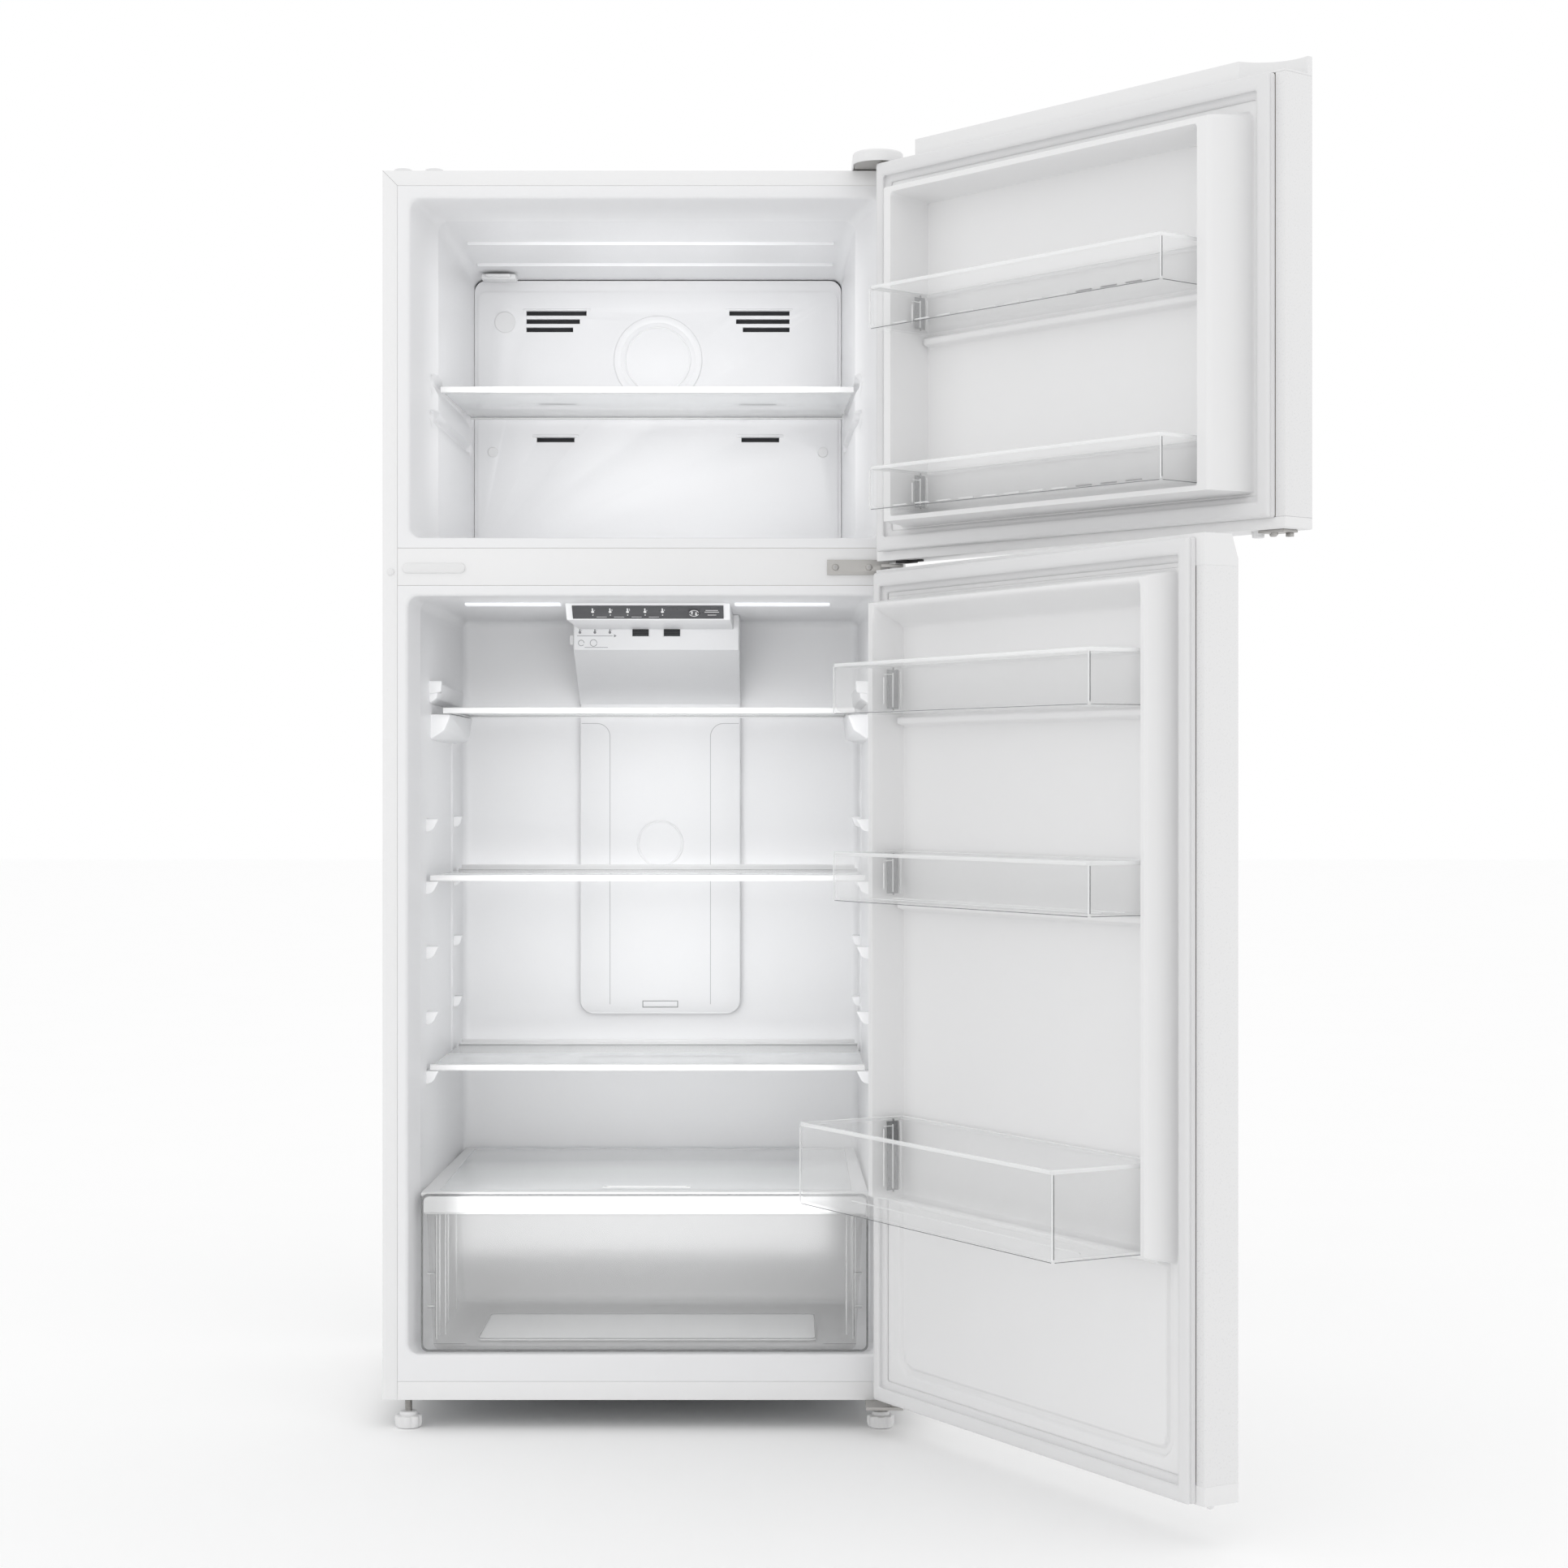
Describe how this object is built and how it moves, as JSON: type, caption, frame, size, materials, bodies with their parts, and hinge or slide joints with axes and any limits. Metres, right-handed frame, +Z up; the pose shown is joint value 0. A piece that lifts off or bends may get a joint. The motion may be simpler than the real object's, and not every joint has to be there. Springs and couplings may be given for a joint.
{
  "type": "top freezer refrigerator",
  "caption": "Free-standing two-door refrigerator with a freezer on top, glass shelves, a clear crisper drawer and clear door bins, shown with both doors swung open.",
  "frame": {"origin": "on the floor, under the middle of the box round the refrigerator with both doors open as stored", "axes": "+Z up, +Y from the open front towards the back wall, +X towards the hinge side"},
  "size_m": [1.1491, 1.2498, 1.705],
  "materials": {
    "cabinet_paint": "satin",
    "door_paint": "satin",
    "galvanised": "matte",
    "liner_plastic": "satin",
    "trim_plastic": "satin",
    "foam": "matte",
    "gasket_rubber": "matte",
    "shelf_glass": "gloss",
    "clear_plastic": "gloss",
    "hinge_steel": "satin",
    "dark_panel": "satin",
    "lamp_lens": "satin",
    "black_paint": "satin",
    "fin_aluminium": "satin",
    "fan_plastic": "matte"
  },
  "bodies": {
    "cabinet": {"outer_shell": "cabinet_paint", "back_panel": "galvanised", "mullion_rail": "cabinet_paint", "bottom_front_rail": "cabinet_paint", "base_frame": "galvanised", "freezer_liner": "liner_plastic", "fridge_liner": "liner_plastic", "cabinet_insulation": "foam", "blanking_covers": "trim_plastic", "top_hinge": "hinge_steel", "top_hinge_cover": "trim_plastic", "middle_hinge": "hinge_steel", "bottom_hinge": "hinge_steel", "hinge_screws": "hinge_steel", "evaporator_cover": "liner_plastic", "evaporator_coil": "fin_aluminium", "evaporator_fan_motor": "fan_plastic", "air_duct_cover": "liner_plastic", "control_box": "liner_plastic", "control_panel_face": "dark_panel", "lamp_lens": "lamp_lens", "compressor": "black_paint", "drain_pan": "trim_plastic", "condenser_fan_motor": "fan_plastic", "condenser_coil": "fin_aluminium", "rear_cover": "galvanised", "power_inlet": "black_paint"},
    "evaporator_fan": {"evaporator_fan": "fan_plastic"},
    "condenser_fan": {"condenser_fan": "fan_plastic"},
    "fridge_temp_button": {"fridge_temp_button": "trim_plastic"},
    "freezer_temp_slider": {"freezer_temp_slider": "trim_plastic"},
    "freezer_shelf": {"freezer_shelf_pane": "shelf_glass", "freezer_shelf_trim": "trim_plastic"},
    "fridge_shelf_upper": {"fridge_shelf_upper_pane": "shelf_glass", "fridge_shelf_upper_trim": "trim_plastic"},
    "fridge_shelf_middle": {"fridge_shelf_middle_pane": "shelf_glass", "fridge_shelf_middle_trim": "trim_plastic"},
    "fridge_shelf_lower": {"fridge_shelf_lower_pane": "shelf_glass", "fridge_shelf_lower_trim": "trim_plastic"},
    "crisper_cover": {"crisper_frame": "trim_plastic", "crisper_pane": "shelf_glass"},
    "crisper_drawer": {"crisper_drawer": "clear_plastic"},
    "left_foot": {"left_foot": "trim_plastic"},
    "right_foot": {"right_foot": "trim_plastic"},
    "rear_rollers": {"rear_rollers": "trim_plastic"},
    "freezer_door": {"freezer_door_skin": "door_paint", "freezer_door_insulation": "foam", "freezer_door_liner": "liner_plastic", "freezer_door_caps": "trim_plastic", "freezer_door_gasket": "gasket_rubber"},
    "fridge_door": {"fridge_door_skin": "door_paint", "fridge_door_insulation": "foam", "fridge_door_liner": "liner_plastic", "fridge_door_caps": "trim_plastic", "fridge_door_gasket": "gasket_rubber"},
    "freezer_bin_upper": {"freezer_bin_upper": "clear_plastic"},
    "freezer_bin_lower": {"freezer_bin_lower": "clear_plastic"},
    "fridge_bin_upper": {"fridge_bin_upper": "clear_plastic"},
    "fridge_bin_middle": {"fridge_bin_middle": "clear_plastic"},
    "fridge_bin_lower": {"fridge_bin_lower": "clear_plastic"}
  },
  "joints": [
    {"name": "freezer_door_hinge", "type": "hinge", "parent": "cabinet", "child": "freezer_door", "pos_m": [0.1115, -0.0051, 1.42], "axis": [0, 0, 1], "range_deg": [-130.5, 4.5]},
    {"name": "fridge_door_hinge", "type": "hinge", "parent": "cabinet", "child": "fridge_door", "pos_m": [0.1115, -0.0051, 0.6], "axis": [0, 0, 1], "range_deg": [-120.2, 14.8]},
    {"name": "freezer_shelf_slide", "type": "slide", "parent": "cabinet", "child": "freezer_shelf", "axis": [0, -1, 0], "range_m": [0, 0.12]},
    {"name": "fridge_shelf_upper_slide", "type": "slide", "parent": "cabinet", "child": "fridge_shelf_upper", "axis": [0, -1, 0], "range_m": [0, 0.14]},
    {"name": "fridge_shelf_middle_slide", "type": "slide", "parent": "cabinet", "child": "fridge_shelf_middle", "axis": [0, -1, 0], "range_m": [0, 0.12]},
    {"name": "fridge_shelf_lower_slide", "type": "slide", "parent": "cabinet", "child": "fridge_shelf_lower", "axis": [0, -1, 0], "range_m": [0, 0.12]},
    {"name": "crisper_cover_lift", "type": "slide", "parent": "cabinet", "child": "crisper_cover", "axis": [0, 0, 1], "range_m": [0, 0.1]},
    {"name": "crisper_drawer_slide", "type": "slide", "parent": "cabinet", "child": "crisper_drawer", "axis": [0, -1, 0], "range_m": [0, 0.3]},
    {"name": "freezer_bin_upper_lift", "type": "slide", "parent": "freezer_door", "child": "freezer_bin_upper", "axis": [0, 0, 1], "range_m": [0, 0.03]},
    {"name": "freezer_bin_lower_lift", "type": "slide", "parent": "freezer_door", "child": "freezer_bin_lower", "axis": [0, 0, 1], "range_m": [0, 0.03]},
    {"name": "fridge_bin_upper_lift", "type": "slide", "parent": "fridge_door", "child": "fridge_bin_upper", "axis": [0, 0, 1], "range_m": [0, 0.03]},
    {"name": "fridge_bin_middle_lift", "type": "slide", "parent": "fridge_door", "child": "fridge_bin_middle", "axis": [0, 0, 1], "range_m": [0, 0.03]},
    {"name": "fridge_bin_lower_lift", "type": "slide", "parent": "fridge_door", "child": "fridge_bin_lower", "axis": [0, 0, 1], "range_m": [0, 0.03]},
    {"name": "fridge_temp_button_press", "type": "slide", "parent": "cabinet", "child": "fridge_temp_button", "axis": [0, 0.5789, 0.8154], "range_m": [0, 0.0008], "stiffness_N_per_m": 1500},
    {"name": "freezer_temp_slide", "type": "slide", "parent": "cabinet", "child": "freezer_temp_slider", "axis": [0, 0, 1], "range_m": [-0.012, 0.012]},
    {"name": "left_foot_screw", "type": "hinge", "parent": "cabinet", "child": "left_foot", "pos_m": [-0.5415, 0.0469, 0.02], "axis": [0, 0, 1], "range_deg": [-1080, 1080]},
    {"name": "right_foot_screw", "type": "hinge", "parent": "cabinet", "child": "right_foot", "pos_m": [0.0925, 0.0469, 0.02], "axis": [0, 0, 1], "range_deg": [-1080, 1080]},
    {"name": "rear_roller_spin", "type": "hinge", "parent": "cabinet", "child": "rear_rollers", "pos_m": [-0.2245, 0.5759, 0.017], "axis": [1, 0, 0], "continuous": true},
    {"name": "evaporator_fan_spin", "type": "hinge", "parent": "cabinet", "child": "evaporator_fan", "pos_m": [-0.2245, 0.4999, 1.493], "axis": [0, 1, 0], "continuous": true},
    {"name": "condenser_fan_spin", "type": "hinge", "parent": "cabinet", "child": "condenser_fan", "pos_m": [-0.2845, 0.5489, 0.15], "axis": [1, 0, 0], "continuous": true}
  ]
}
